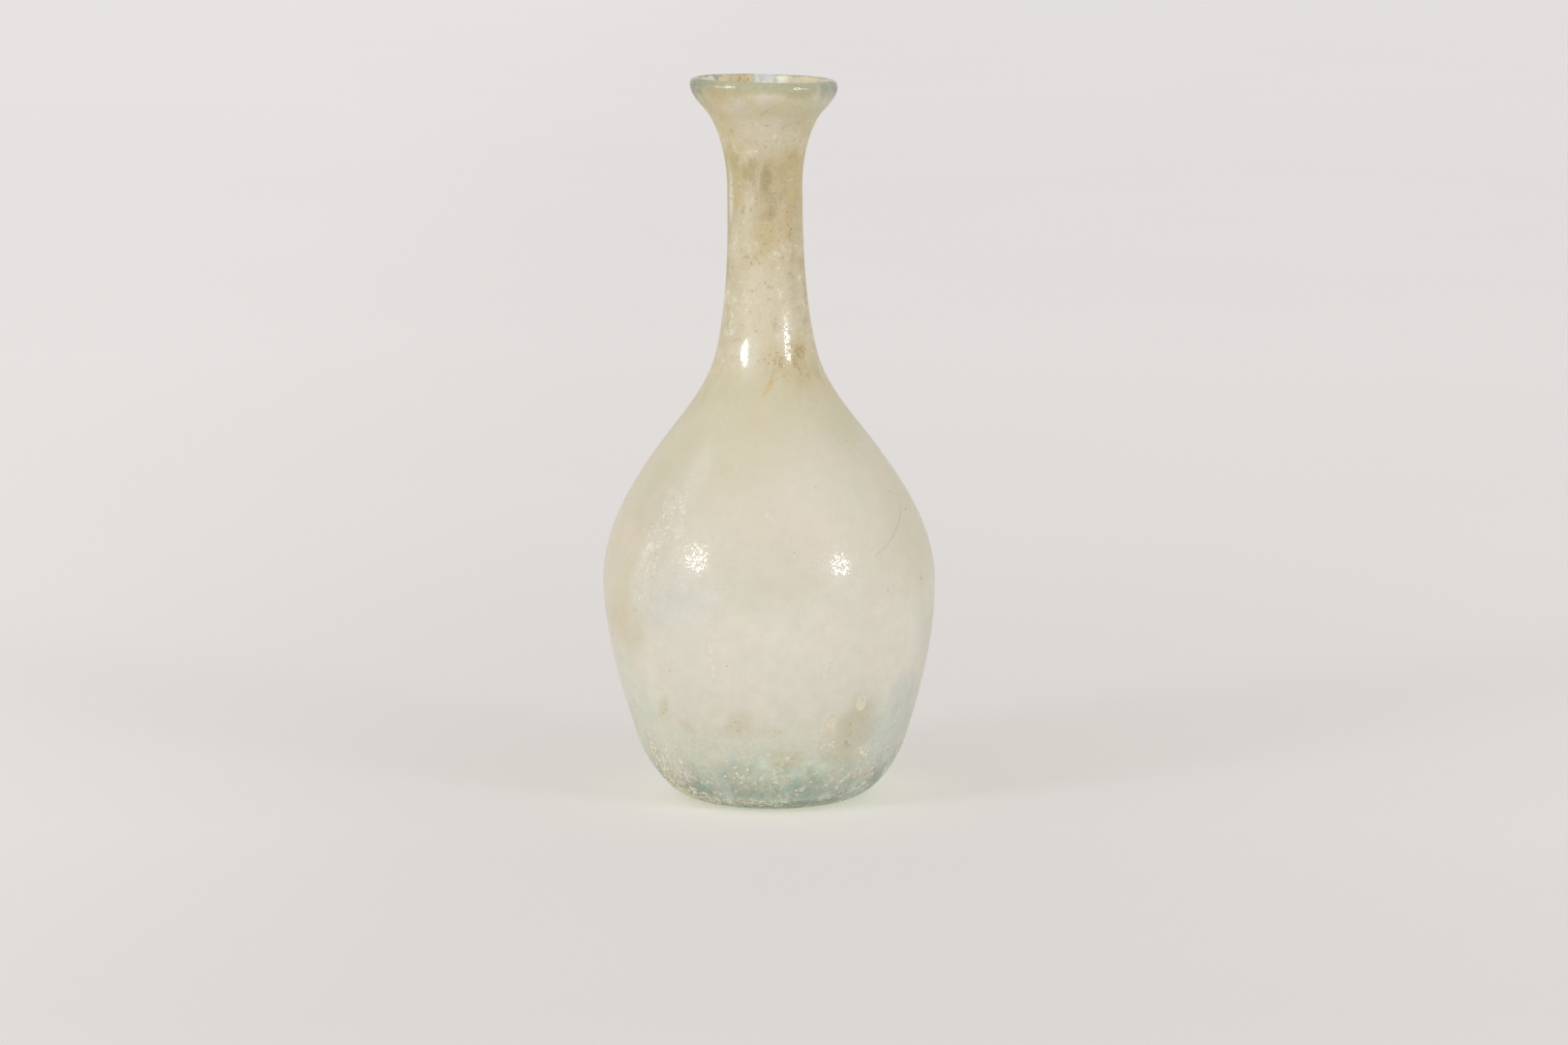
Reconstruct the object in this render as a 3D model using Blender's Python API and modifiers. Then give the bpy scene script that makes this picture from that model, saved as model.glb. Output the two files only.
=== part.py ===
"""Perfume flask of free-blown glass: a drop-shaped body, a slender neck and a flared, rounded mouth.

The flask is one piece of glass, hollow and open at the mouth. Its base is pushed in a little, so it
stands on a narrow flat ring. Units are metres and +Z is up. The origin is on the ground under the
widest part of the body.
"""

import math

import bpy
import numpy as np

# Heights of the wall's stations, each above the one before it, starting from the ground
FLANK_RISE = 0.0125
BELLY_RISE = 0.0300
SHOULDER_RISE = 0.0293
NECK_FOOT_RISE = 0.0155
NECK_RISE = 0.0315
FLARE_RISE = 0.0132
LIP_RISE = 0.0065

# Outer radius at each station
FOOT_RADIUS = 0.0148
FLANK_RADIUS = 0.0266
BELLY_RADIUS = 0.0324
SHOULDER_RADIUS = 0.0189
NECK_FOOT_RADIUS = 0.0098
NECK_RADIUS = 0.0073
FLARE_RADIUS = 0.0102
LIP_RADIUS = 0.01425

# Heading of the wall at the stations where it slopes, in degrees: 0 is outwards, 90 is straight up
FLANK_HEADING = 72.5
SHOULDER_HEADING = 128.0
NECK_FOOT_HEADING = 103.0
FLARE_HEADING = 62.5

# Thickness of the glass at each station
FLOOR_WALL = 0.0030
FLANK_WALL = 0.0019
BELLY_WALL = 0.0013
SHOULDER_WALL = 0.0014
NECK_FOOT_WALL = 0.0018
NECK_WALL = 0.0018
FLARE_WALL = 0.0019
LIP_WALL = 0.0025

# The pushed-in base: how far its middle is lifted, and where the flat resting ring starts
KICK_RISE = 0.0016
RING_INNER_RADIUS = 0.0100

# Unevenness of hand-blown work: the axis wanders to one side, and the mouth is not level
FOOT_DRIFT = 0.0007
MOUTH_DRIFT = -0.0010
MOUTH_TILT = 1.2

# Fineness of the faceted surface
TURN_STEPS = 52
OUTER_STEPS = 7
INNER_STEPS = 4
LIP_STEPS = 6
MERGE_DISTANCE = 0.00001

FLANK_HEIGHT = FLANK_RISE
BELLY_HEIGHT = FLANK_HEIGHT + BELLY_RISE
SHOULDER_HEIGHT = BELLY_HEIGHT + SHOULDER_RISE
NECK_FOOT_HEIGHT = SHOULDER_HEIGHT + NECK_FOOT_RISE
NECK_HEIGHT = NECK_FOOT_HEIGHT + NECK_RISE
FLARE_HEIGHT = NECK_HEIGHT + FLARE_RISE
LIP_HEIGHT = FLARE_HEIGHT + LIP_RISE


def station(radius, height, heading):
    """A point of an outline in the (radius, height) plane, with the unit vector of its heading."""
    angle = math.radians(heading)
    return np.array([radius, height]), np.array([math.cos(angle), math.sin(angle)])


def inside(outer, wall):
    """The station on the inner face: the outer one moved by the wall's thickness, square to its heading."""
    point, heading = outer
    return point + wall * np.array([-heading[1], heading[0]]), heading


def stretch(start, end, steps):
    """Cubic curve from one station to the next, along both headings. The start is left out.

    Both headings are weighted by the straight distance between the two stations.
    """
    (a, heading_a), (b, heading_b) = start, end
    reach = np.linalg.norm(b - a)
    t = np.linspace(0.0, 1.0, steps + 1)[1:, None]
    return (
        (2 * t**3 - 3 * t**2 + 1) * a
        + (t**3 - 2 * t**2 + t) * reach * heading_a
        + (3 * t**2 - 2 * t**3) * b
        + (t**3 - t**2) * reach * heading_b
    )


def smooth_line(stations, steps):
    """Points of the smooth outline that passes through all the stations, with so many to a stretch."""
    lines = [stations[0][0][None, :]]
    for start, end in zip(stations, stations[1:]):
        lines.append(stretch(start, end, steps))
    return np.concatenate(lines)


def wall_stations():
    """The outer wall from the foot to the lip, as stations, each with its thickness of glass."""
    return [
        (station(FOOT_RADIUS, 0.0, 0.0), FLOOR_WALL),
        (station(FLANK_RADIUS, FLANK_HEIGHT, FLANK_HEADING), FLANK_WALL),
        (station(BELLY_RADIUS, BELLY_HEIGHT, 90.0), BELLY_WALL),
        (station(SHOULDER_RADIUS, SHOULDER_HEIGHT, SHOULDER_HEADING), SHOULDER_WALL),
        (station(NECK_FOOT_RADIUS, NECK_FOOT_HEIGHT, NECK_FOOT_HEADING), NECK_FOOT_WALL),
        (station(NECK_RADIUS, NECK_HEIGHT, 90.0), NECK_WALL),
        (station(FLARE_RADIUS, FLARE_HEIGHT, FLARE_HEADING), FLARE_WALL),
        (station(LIP_RADIUS, LIP_HEIGHT, 90.0), LIP_WALL),
    ]


def lip_line():
    """The fire-rounded lip: a half circle from the inner face over the top to the outer face."""
    bead = LIP_WALL / 2
    angle = np.linspace(math.pi, 0.0, LIP_STEPS + 1)[1:-1]
    return np.column_stack(
        [LIP_RADIUS - bead + bead * np.cos(angle), LIP_HEIGHT + bead * np.sin(angle)]
    )


def flask_profile():
    """The section of the glass, from the middle of the floor up the inside, over the lip and down."""
    walls = wall_stations()
    floor_middle = station(0.0, KICK_RISE + FLOOR_WALL, 0.0)
    inner = smooth_line([floor_middle] + [inside(outer, wall) for outer, wall in walls], INNER_STEPS)
    outer = smooth_line([outer for outer, wall in walls], OUTER_STEPS)[::-1]
    ring_edge = station(RING_INNER_RADIUS, 0.0, 0.0)
    kick_middle = station(0.0, KICK_RISE, 0.0)
    underside = smooth_line([kick_middle, ring_edge], INNER_STEPS)[::-1]
    return np.concatenate([inner, lip_line(), outer, underside])


def turned(name, profile):
    """A mesh object: the profile turned once round the Z axis with a Screw modifier."""
    mesh = bpy.data.meshes.new(name)
    points = [(radius, 0.0, height) for radius, height in profile]
    edges = [(i, i + 1) for i in range(len(points) - 1)]
    mesh.from_pydata(points, edges, [])
    outline = bpy.data.objects.new(name + "_outline", mesh)
    bpy.context.scene.collection.objects.link(outline)
    screw = outline.modifiers.new("Turn", "SCREW")
    screw.axis = "Z"
    screw.steps = TURN_STEPS
    screw.render_steps = TURN_STEPS
    screw.use_merge_vertices = True
    screw.merge_threshold = MERGE_DISTANCE
    bpy.context.view_layer.update()
    graph = bpy.context.evaluated_depsgraph_get()
    solid = bpy.data.meshes.new_from_object(outline.evaluated_get(graph))
    bpy.data.objects.remove(outline)
    return bpy.data.objects.new(name, solid)


def hand_blown(mesh):
    """Moves the turned surface off its true axis, and tips the mouth about the Y axis.

    The sideways drift runs in a straight line from the foot to the belly, and from there to the lip.
    The tip grows smoothly from nothing at the narrowest part of the neck to its whole at the lip.
    """
    points = np.empty(len(mesh.vertices) * 3)
    mesh.vertices.foreach_get("co", points)
    points = points.reshape(-1, 3)
    height = points[:, 2]
    drift = np.interp(height, [0.0, BELLY_HEIGHT, LIP_HEIGHT], [FOOT_DRIFT, 0.0, MOUTH_DRIFT])
    share = np.clip((height - NECK_HEIGHT) / (LIP_HEIGHT - NECK_HEIGHT), 0.0, 1.0)
    share = share * share * (3 - 2 * share)
    tip = -math.tan(math.radians(MOUTH_TILT)) * points[:, 0] * share
    points[:, 0] += drift
    points[:, 2] += tip
    mesh.vertices.foreach_set("co", points.ravel())
    mesh.update()


def glass_material():
    """Pale blue-green glass, milky with cream weathering."""
    material = bpy.data.materials.new("Weathered glass")
    material.use_nodes = True
    shader = material.node_tree.nodes["Principled BSDF"]
    shader.inputs["Base Color"].default_value = (0.62, 0.60, 0.47, 1.0)
    shader.inputs["Roughness"].default_value = 0.28
    shader.inputs["Metallic"].default_value = 0.0
    shader.inputs["IOR"].default_value = 1.51
    shader.inputs["Transmission Weight"].default_value = 0.45
    return material


def clear_scene():
    for item in list(bpy.data.objects):
        bpy.data.objects.remove(item)


def main():
    clear_scene()
    collection = bpy.data.collections.new("Glass perfume flask")
    bpy.context.scene.collection.children.link(collection)
    flask = turned("flask", flask_profile())
    hand_blown(flask.data)
    flask.data.materials.append(glass_material())
    flask.data.shade_smooth()
    flask.data.set_sharp_from_angle(angle=math.radians(40))
    collection.objects.link(flask)


main()
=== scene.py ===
"""An ancient perfume flask of free-blown glass, milky and stained with age, on a pale studio floor.

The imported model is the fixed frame. Every piece here lies on the glass that it covers, in metres, with
+Z up, and the side that the camera sees faces -Y. An azimuth is an angle round the flask, counted from
that side and growing to the right.
"""

import math

import bpy
import numpy as np
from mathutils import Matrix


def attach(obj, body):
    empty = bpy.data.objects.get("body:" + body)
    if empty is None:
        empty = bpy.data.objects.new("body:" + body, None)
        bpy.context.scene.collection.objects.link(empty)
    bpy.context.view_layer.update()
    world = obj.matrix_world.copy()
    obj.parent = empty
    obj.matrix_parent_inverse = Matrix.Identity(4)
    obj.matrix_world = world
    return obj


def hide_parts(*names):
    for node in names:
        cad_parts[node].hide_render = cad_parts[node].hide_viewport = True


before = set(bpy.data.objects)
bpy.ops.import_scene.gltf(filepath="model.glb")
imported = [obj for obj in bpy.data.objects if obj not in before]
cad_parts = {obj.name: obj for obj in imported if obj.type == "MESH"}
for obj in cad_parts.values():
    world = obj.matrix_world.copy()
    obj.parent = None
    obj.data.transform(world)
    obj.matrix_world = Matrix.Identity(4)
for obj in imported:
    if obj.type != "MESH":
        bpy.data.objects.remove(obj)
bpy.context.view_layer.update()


# The blown glass
# One gather of pale blue-green glass, blown to a drop and drawn out into a slender neck. The lip was
# rounded in the fire, and the base was pushed in, so that the flask stands on a narrow ring. A length
# in metres times MM is in millimetres.
MM = 1000.0
FLANK_HEIGHT = 0.0125
BELLY_HEIGHT = FLANK_HEIGHT + 0.03
SHOULDER_HEIGHT = BELLY_HEIGHT + 0.0293
NECK_FOOT_HEIGHT = SHOULDER_HEIGHT + 0.0155
NECK_HEIGHT = NECK_FOOT_HEIGHT + 0.0315
FLARE_HEIGHT = NECK_HEIGHT + 0.0132
LIP_HEIGHT = FLARE_HEIGHT + 0.0065
FOOT_RADIUS = 0.0148
FLANK_RADIUS = 0.0266
BELLY_RADIUS = 0.0324
SHOULDER_RADIUS = 0.0189
NECK_FOOT_RADIUS = 0.0098
NECK_RADIUS = 0.0073
FLARE_RADIUS = 0.0102
LIP_RADIUS = 0.01425
LIP_WALL = 0.0025
KICK_RISE = 0.0016
FLOOR_WALL = 0.003
RING_INNER_RADIUS = 0.01
FOOT_DRIFT = 0.0007
MOUTH_DRIFT = -0.001
MOUTH_TILT = math.radians(1.2)
GLASS_SINK = 0.00008
WAVER_DEPTH = 0.00012
GLASS_COLUMNS = 260
GLASS_DENSITY = 60.0
LIP_STEPS = 16
BASE_STEPS = 8


def station(radius, height, heading):
    """A point of an outline in the (radius, height) plane, with the unit vector of its heading."""
    angle = math.radians(heading)
    return np.array([radius, height]), np.array([math.cos(angle), math.sin(angle)])


def inside(outer, wall):
    """The station moved towards the axis by the wall's thickness, square to its heading."""
    point, heading = outer
    return point + wall * np.array([-heading[1], heading[0]]), heading


def smooth_line(stations, steps):
    """Points through all the stations: each stretch is the cubic 2t^3 - 3t^2 + 1 and its fellows,
    which blend the two ends and their headings, weighted by the straight distance between them."""
    lines = [stations[0][0][None, :]]
    t = np.linspace(0.0, 1.0, steps + 1)[1:, None]
    for (a, heading_a), (b, heading_b) in zip(stations, stations[1:]):
        reach = np.linalg.norm(b - a)
        lines.append(
            (2 * t**3 - 3 * t**2 + 1) * a
            + (t**3 - 2 * t**2 + t) * reach * heading_a
            + (3 * t**2 - 2 * t**3) * b
            + (t**3 - t**2) * reach * heading_b
        )
    return np.concatenate(lines)


WALLS = [
    (station(FOOT_RADIUS, 0.0, 0.0), FLOOR_WALL),
    (station(FLANK_RADIUS, FLANK_HEIGHT, 72.5), 0.0019),
    (station(BELLY_RADIUS, BELLY_HEIGHT, 90.0), 0.0013),
    (station(SHOULDER_RADIUS, SHOULDER_HEIGHT, 128.0), 0.0014),
    (station(NECK_FOOT_RADIUS, NECK_FOOT_HEIGHT, 103.0), 0.0018),
    (station(NECK_RADIUS, NECK_HEIGHT, 90.0), 0.0018),
    (station(FLARE_RADIUS, FLARE_HEIGHT, 62.5), 0.0019),
    (station(LIP_RADIUS, LIP_HEIGHT, 90.0), LIP_WALL),
]


def inner_line(steps, rise=0.0):
    """The inner face from the middle of the floor up to the lip, raised off the glass by the rise."""
    floor_middle = station(0.0, KICK_RISE + FLOOR_WALL + rise, 0.0)
    return smooth_line([floor_middle] + [inside(outer, wall + rise) for outer, wall in WALLS], steps)


def outer_line(steps, sink=0.0):
    """The outer face from the foot up to the lip, set into the glass by the sink."""
    return smooth_line([inside(outer, sink) for outer, _ in WALLS], steps)


def lip_line(steps, rise=0.0):
    """The lip: a half circle from the inner face over the top to the outer face, raised by the rise."""
    bead = LIP_WALL / 2 + rise
    angle = np.linspace(math.pi, 0.0, steps + 1)[1:-1]
    middle = LIP_RADIUS - LIP_WALL / 2
    return np.column_stack([middle + bead * np.cos(angle), LIP_HEIGHT + bead * np.sin(angle)])


def base_line(steps, sink=0.0):
    """The underside from the middle of the pushed-in base out to the resting ring."""
    kick_middle = station(0.0, KICK_RISE + sink, 0.0)
    ring_edge = station(RING_INNER_RADIUS, sink, 0.0)
    return smooth_line([kick_middle, ring_edge], steps)


def eased(share):
    """3t^2 - 2t^3 of a share, which sets off and arrives smoothly."""
    return share * share * (3 - 2 * share)


def mottle(azimuth, height, cells_round, cell_height, seed):
    """Smooth random unevenness from -1 to 1, which closes on itself once round the flask: random values
    on a lattice, eased into each other across and up."""
    across = (azimuth / (2 * math.pi)) % 1.0 * cells_round
    up = height / cell_height + 8.0
    lattice = np.random.default_rng(seed).uniform(-1.0, 1.0, (int(up.max()) + 2, cells_round))
    i, j = across.astype(int) % cells_round, up.astype(int)
    s, t = eased(across % 1.0), eased(up - j)
    after = (i + 1) % cells_round
    low = lattice[j, i] * (1 - s) + lattice[j, after] * s
    high = lattice[j + 1, i] * (1 - s) + lattice[j + 1, after] * s
    return low * (1 - t) + high * t


def waver(azimuth, radius, height):
    """How deep the hand-blown wall falls in: a slow unevenness and a finer spiral one, from the shaping,
    both fading to nothing at the ring that it stands on."""
    slow = mottle(azimuth, height, 5, 0.028, 11)
    spiral = mottle(azimuth + 18.0 * height, height, 26, 0.021, 12)
    ease = np.clip(radius / FOOT_RADIUS, 0.0, 1.0) * np.clip(height / 0.006, 0.0, 1.0)
    return WAVER_DEPTH * (0.5 + 0.36 * slow + 0.14 * spiral) * ease


def hand_blown(azimuth, radius, height):
    """Points round the axis, with the wall's waver. The axis drifts in a straight line from the foot to
    the belly, and from there to the lip, and the mouth is tipped about the Y axis, by nothing at the
    neck's waist and wholly at the lip."""
    radius = np.maximum(radius - waver(azimuth, radius, height), 0.0)
    drift = np.interp(height, [0.0, BELLY_HEIGHT, LIP_HEIGHT], [FOOT_DRIFT, 0.0, MOUTH_DRIFT])
    share = eased(np.clip((height - NECK_HEIGHT) / (LIP_HEIGHT - NECK_HEIGHT), 0.0, 1.0))
    x = radius * np.sin(azimuth)
    tip = -math.tan(MOUTH_TILT) * x * share
    return np.stack([x + drift, -radius * np.cos(azimuth), height + tip], axis=-1)


def round_the_axis(line, columns):
    """Arrays of azimuth, radius and height for a line of (radius, height) points turned once round."""
    azimuth = np.linspace(0.0, 2 * math.pi, columns, endpoint=False)[None, :]
    return np.broadcast_arrays(azimuth, line[:, :1], line[:, 1:])


def surface(name, points, pole_at_start=False, pole_at_end=False, **values):
    """An object from one or more grids of points, faces on the left as the rows go up. Each grid closes
    on itself across its columns, and a row that is all one point becomes a pole. The values become
    attributes."""
    rows, columns = points.shape[-3:-1]
    index = np.arange(points.size // 3).reshape(-1, rows, columns)
    after = np.roll(index, -1, axis=-1)
    poles = np.repeat(index[..., :1], columns, axis=-1)
    quads = np.stack([index[:, :-1], after[:, :-1], after[:, 1:], index[:, 1:]], axis=-1)
    quads = quads[:, int(pole_at_start) : rows - 1 - int(pole_at_end)]
    fans = [np.empty((0, columns, 3), int)]
    if pole_at_start:
        fans.append(np.stack([poles[:, 0], after[:, 1], index[:, 1]], axis=-1))
    if pole_at_end:
        fans.append(np.stack([index[:, -2], after[:, -2], poles[:, -1]], axis=-1))
    return mesh_object(name, points, quads, np.concatenate(fans), values)


def mesh_object(name, points, quads, triangles, values):
    """An object with these points and faces, without the points that no face uses, and with the values
    as attributes of its points: a number each, or a colour."""
    used, corners = np.unique(np.concatenate([quads.ravel(), triangles.ravel()]), return_inverse=True)
    sizes = np.repeat([4, 3], [quads.size // 4, triangles.size // 3])
    mesh = bpy.data.meshes.new(name)
    mesh.vertices.add(len(used))
    mesh.vertices.foreach_set("co", points.reshape(-1, 3)[used].ravel())
    mesh.loops.add(len(corners))
    mesh.loops.foreach_set("vertex_index", corners)
    mesh.polygons.add(len(sizes))
    mesh.polygons.foreach_set("loop_start", np.concatenate([[0], np.cumsum(sizes)[:-1]]))
    mesh.update(calc_edges=True)
    mesh.shade_smooth()
    for key, value in values.items():
        if value.shape[-1] == 3:
            colours = mesh.attributes.new(key, "FLOAT_COLOR", "POINT")
            padded = np.ones((len(used), 4))
            padded[:, :3] = value.reshape(-1, 3)[used]
            colours.data.foreach_set("color", padded.ravel())
        else:
            numbers = mesh.attributes.new(key, "FLOAT", "POINT")
            numbers.data.foreach_set("value", value.ravel()[used].astype(np.float32))
    return placed(name, mesh)


def placed(name, data):
    """A new object of the scene."""
    item = bpy.data.objects.new(name, data)
    bpy.context.scene.collection.objects.link(item)
    return item


def node(tree, kind, *values, **settings):
    """Adds a shader node. The values fill its inputs in order: a socket is linked, None is left alone."""
    made = tree.nodes.new("ShaderNode" + kind)
    for name, value in settings.items():
        setattr(made, name, value)
    for socket, value in zip(made.inputs, values):
        if isinstance(value, bpy.types.NodeSocket):
            tree.links.new(value, socket)
        elif value is not None:
            socket.default_value = value
    return made


def mixed(tree, share, first, second, how="MIX"):
    """The socket of two colours blended by a share."""
    made = tree.nodes.new("ShaderNodeMix")
    made.data_type = "RGBA"
    made.blend_type = how
    for index, value in ((0, share), (6, first), (7, second)):
        if isinstance(value, bpy.types.NodeSocket):
            tree.links.new(value, made.inputs[index])
        else:
            made.inputs[index].default_value = value if index == 0 else (*value, 1.0)
    return made.outputs[2]


def sums(tree, how, *values):
    """The socket of a Math node."""
    return node(tree, "Math", *values, operation=how).outputs[0]


def times(tree, value, factor, plus=0.0):
    """The socket of a value times a factor, with something added."""
    return sums(tree, "MULTIPLY_ADD", value, factor, plus)


def ranged(tree, value, low, high, first=0.0, last=1.0, **settings):
    """The socket of a value carried over from one range to another."""
    return node(tree, "MapRange", value, low, high, first, last, **settings).outputs[0]


def shaded(tree, tone, share, first, second):
    """The socket of a tone times a shade, which is mixed from two by a share."""
    return mixed(tree, 1.0, tone, mixed(tree, share, first, second), "MULTIPLY")


def painted(tree, name):
    """The socket of a value that the mesh's points carry: the tone is a colour, the others are numbers."""
    return node(tree, "Attribute", attribute_name=name).outputs["Color" if name == "tone" else "Fac"]


def rippled(tree, strength, height):
    """The socket of a skin made uneven by a small height."""
    return node(tree, "Bump", strength, BUMP_DISTANCE, None, height).outputs[0]


def new_material(name, **plain):
    """A material with one Principled shader, whose plain values are named with _ for each space."""
    material = bpy.data.materials.new(name)
    material.use_nodes = True
    tree = material.node_tree
    shader = tree.nodes["Principled BSDF"]
    for key, value in plain.items():
        shader.inputs[key.replace("_", " ")].default_value = value
    return material, tree, shader


def feed(tree, shader, **sockets):
    """Links sockets to the shader's inputs, named in the same way."""
    for key, socket in sockets.items():
        tree.links.new(socket, shader.inputs[key.replace("_", " ")])


# Each unevenness: its name, its scale per metre and its detail
MINERAL_SCALES = [("Clouds", 85, 4), ("Patches", 330, 4), ("Flecks", 1100, 3), ("Grains", 3200, 2)]
BUMP_DISTANCE = 0.0001


def mineral_group():
    """Unevenness at four scales, from clouds a centimetre across to grains of a third of a millimetre,
    each from about -1 to 1."""
    group = bpy.data.node_groups.new("mineral_unevenness", "ShaderNodeTree")
    place = node(group, "TexCoord").outputs["Object"]
    output = group.nodes.new("NodeGroupOutput")
    for name, scale, detail in MINERAL_SCALES:
        group.interface.new_socket(name, in_out="OUTPUT", socket_type="NodeSocketFloat")
        noise = node(group, "TexNoise", place, None, scale, detail, 0.62).outputs["Fac"]
        spread = ranged(group, noise, 0.25, 0.75, -1.0, 1.0, clamp=False)
        group.links.new(spread, output.inputs[name])
    return group


MINERAL = mineral_group()


def mineral(tree):
    """The four sockets of the unevenness, placed in a material, from clouds to grains."""
    made = tree.nodes.new("ShaderNodeGroup")
    made.node_tree = MINERAL
    return made.outputs


def lets_lamps_through(tree, shader, colour):
    """Keeps shadows soft: the light of the lamps, and the light that comes from all round, pass through
    the surface to the floor, tinted, as they do in thin glass."""
    clear = node(tree, "BsdfTransparent", (*colour, 1.0)).outputs[0]
    ray = node(tree, "LightPath").outputs
    share = sums(tree, "MAXIMUM", ray["Is Shadow Ray"], ray["Is Diffuse Ray"])
    both = node(tree, "MixShader", share, shader.outputs[0], clear).outputs[0]
    tree.links.new(both, tree.nodes["Material Output"].inputs["Surface"])


def glass_material():
    """Clear blue-green glass with a slightly dulled, faintly rippled skin. Depth makes it greener."""
    material, tree, shader = new_material("aged_glass", IOR=1.51, Transmission_Weight=1.0)
    clouds, patches, flecks, _ = mineral(tree)
    tint = mixed(tree, ranged(tree, clouds, -0.6, 0.6), (0.97, 0.99, 0.985), (0.9, 0.965, 0.95))
    dull = ranged(tree, patches, -0.6, 0.6, 0.03, 0.12)
    feed(tree, shader, Base_Color=tint, Roughness=dull, Normal=rippled(tree, 0.1, flecks))
    lets_lamps_through(tree, shader, (0.965, 0.975, 0.965))
    depth = node(tree, "VolumeAbsorption", (0.42, 0.7, 0.58, 1.0), GLASS_DENSITY)
    tree.links.new(depth.outputs[0], tree.nodes["Material Output"].inputs["Volume"])
    return material


# The section of the glass: up the inside, over the lip, down the outside and in underneath
glass_line = np.concatenate(
    [
        inner_line(12),
        lip_line(LIP_STEPS),
        outer_line(22, GLASS_SINK)[::-1],
        base_line(BASE_STEPS, GLASS_SINK)[::-1],
    ]
)
glass_grid = round_the_axis(np.maximum(glass_line, [0.0, GLASS_SINK])[::-1], GLASS_COLUMNS)
glass = surface("glass", hand_blown(*glass_grid), pole_at_start=True, pole_at_end=True)
glass.data.materials.append(glass_material())
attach(glass, "root")
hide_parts("flask")


# The weathering film
# Centuries in the ground have turned the outer skin of the glass into a thin milky layer, cream with a
# breath of pink and green. It is thick on the body, worn off the lip, and patchy near the base. Grains
# of brown soil and chalky specks are caught in it.
FILM_SINK = 0.00004
FILM_COLUMNS = 320
FILM_ROWS = 290
FILM_LIP_ROWS = 10
CREAM = (0.625, 0.578, 0.48)
PALE_CREAM = (0.7, 0.672, 0.59)
ROSY_CREAM = (0.645, 0.575, 0.495)
POWDER = (0.7, 0.635, 0.47)
STRAW = (0.57, 0.508, 0.34)
PALE_STRAW = (0.63, 0.565, 0.38)
WARM_GREY = (0.588, 0.536, 0.388)
TAN = (0.52, 0.41, 0.22)
OCHRE = (0.6, 0.42, 0.18)
OLIVE = (0.5, 0.46, 0.31)
SEA_GREY = (0.645, 0.68, 0.595)
# The sea green at the base: the glass's tint, made brighter with painted light as if the floor's light came
# through.
SEA_GREEN_WITH_PAINTED_LIGHT = (0.72, 0.87, 0.8)
DEEP_SEA = (0.25, 0.375, 0.35)
BLUE_GREY = (0.59, 0.64, 0.62)
SLATE = (0.28, 0.34, 0.33)
SOIL_BROWN = (0.32, 0.25, 0.13)
SOAKED = (0.47, 0.385, 0.2)
LIP_OLIVE = (0.41, 0.385, 0.235)
# A dark grey for both ends of the lip: painted edge shade.
LIP_END_SHADE = (0.22, 0.225, 0.15)
BLOTCH = (0.215, 0.178, 0.108)
# A tan for the neck's sides: painted edge shade.
EDGE_SHADE_TAN = (0.43, 0.375, 0.24)
CHALK = (0.84, 0.82, 0.74)
# By height in mm: how much of the glass the film covers, its tone, and how much soil and chalk it holds
FILM_COVER = [
    (0, 0.66), (4, 0.68), (9, 0.76), (16, 0.88), (30, 0.96), (70, 0.96), (88, 0.9), (118, 0.88),
    (130, 0.88), (134.5, 0.84), (136.8, 0.8), (139.2, 0.78), (139.7, 0.7),
]
FILM_TONES = [
    (0, SEA_GREEN_WITH_PAINTED_LIGHT), (5, SEA_GREEN_WITH_PAINTED_LIGHT), (12, SEA_GREY), (20, PALE_CREAM), (36, PALE_CREAM), (50, CREAM),
    (57, CREAM), (71, (0.585, 0.538, 0.418)), (80, WARM_GREY), (88, WARM_GREY), (95, CREAM), (106, STRAW),
    (118, TAN), (124, TAN), (130, PALE_STRAW), (136.5, PALE_STRAW), (137.9, LIP_OLIVE), (139.7, LIP_OLIVE),
]
FILM_SOIL = [
    (0, 0.08), (9, 0.1), (16, 0.1), (26, 0), (76, 0), (86, 0.34), (100, 0.4), (124, 0.46), (132, 0.34),
    (137, 0.05),
]
FILM_CHALK = [
    (0, 0.34), (10, 0.34), (15, 0.2), (22, 0.06), (30, 0), (82, 0.1), (92, 0.38), (108, 0.34), (113, 0.18),
    (123, 0.18), (127, 0.3), (134, 0.26), (137, 0),
]
# By height: how much of the skin is glossy still, and the spots where more of it is, laid out like the
# stains below, without a tone
FILM_GLOSS = [
    (0, 0.55), (10, 0.4), (18, 0.15), (80, 0.15), (90, 0.3), (118, 0.2), (134, 0.3), (136.5, 0.8), (138, 1),
]
GLOSS_SPOTS = [
    (-30, 49, 11, 11, 0, 0.7), (29, 49, 9, 11, 0, 0.7), (-23, 88, 4.6, 2.5, 0, 1.3),
    (26, 92, 3.6, 9, 0, 0.95), (150, 60, 14, 12, 0, 0.7), (-140, 36, 12, 10, 0, 0.7),
    (-100, 88, 5, 16, 0, 0.8), (110, 30, 10, 9, 0, 0.7), (175, 95, 4, 14, 0, 0.8),
    (-20.5, 125.8, 1.3, 1.6, 0, 1.4), (28, 115.7, 1.4, 1.2, 0, 1.4), (-26, 99, 3.4, 5, 0, 0.8),
    (-70, 60, 8, 10, 0, 0.3),
]
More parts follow.
